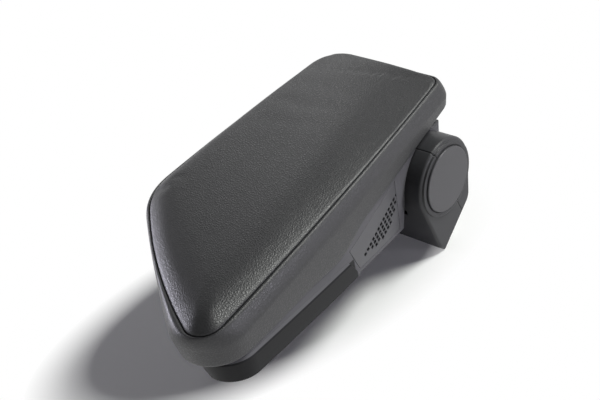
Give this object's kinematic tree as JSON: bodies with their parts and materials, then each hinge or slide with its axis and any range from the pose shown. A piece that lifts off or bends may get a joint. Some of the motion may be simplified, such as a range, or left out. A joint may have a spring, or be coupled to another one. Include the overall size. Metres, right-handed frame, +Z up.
{
  "type": "car centre armrest",
  "caption": "Padded folding armrest for between car seats: leather lid over a storage tray, side vent grille, on a pivoting arm carried by a drum-shaped foot.",
  "frame": {"origin": "centre of the foot's slanted mounting face", "axes": "+Z up with the lid level, -Y towards the nose, X across along the fold axis, +X on the grille's side"},
  "size_m": [0.1527, 0.2958, 0.1374],
  "materials": {
    "leather": "charcoal pebble-grain leather cover with a sewn seam",
    "foam": "open-cell polyurethane foam",
    "lining": "black flock and felt",
    "carrier_plastic": "black moulded plastic with a fine grain",
    "shell_plastic": "satin dark grey moulded plastic",
    "foot_plastic": "satin dark grey moulded plastic",
    "cap_plastic": "satin grey moulded plastic",
    "bearing_plastic": "natural acetal",
    "steel": "zinc-plated sheet steel",
    "fasteners": "plated steel"
  },
  "bodies": {
    "foot": {"base_bracket": "steel", "base_front_cover": "foot_plastic", "base_rear_cover": "foot_plastic", "end_cap_left": "cap_plastic", "end_cap_right": "cap_plastic", "pivot_shaft": "steel", "spring_washer": "fasteners", "shaft_nut": "fasteners", "friction_rings": "bearing_plastic", "cover_screws": "fasteners"},
    "arm": {"arm_shell": "shell_plastic", "vent_grille": "shell_plastic", "tray_liner": "carrier_plastic", "tray_mat": "lining", "hinge_deck": "carrier_plastic", "arm_bracket": "steel", "pivot_bushes": "bearing_plastic", "lid_hinge_pin": "steel", "latch_bracket": "steel", "button_spring": "fasteners", "keel_screws": "fasteners"},
    "button": {"release_button": "shell_plastic"},
    "lid": {"lid_carrier": "carrier_plastic", "lid_foam": "foam", "cover_top": "leather", "cover_band": "leather", "lid_lining": "lining", "lid_screws": "fasteners"}
  },
  "joints": [
    {"name": "arm_fold", "type": "hinge", "parent": "foot", "child": "arm", "pos_m": [0, -0.00529, 0.05193], "axis": [-1, 0, 0], "range_deg": [0, 60]},
    {"name": "lid_open", "type": "hinge", "parent": "arm", "child": "lid", "pos_m": [0, 0.01971, 0.09393], "axis": [-1, 0, 0], "range_deg": [0, 70]},
    {"name": "button_press", "type": "slide", "parent": "arm", "child": "button", "axis": [0.6108, 0.7918, 0], "range_m": [0, 0.003], "stiffness_N_per_m": 800, "springref_m": -0.002, "deforming": ["button_spring"]}
  ]
}
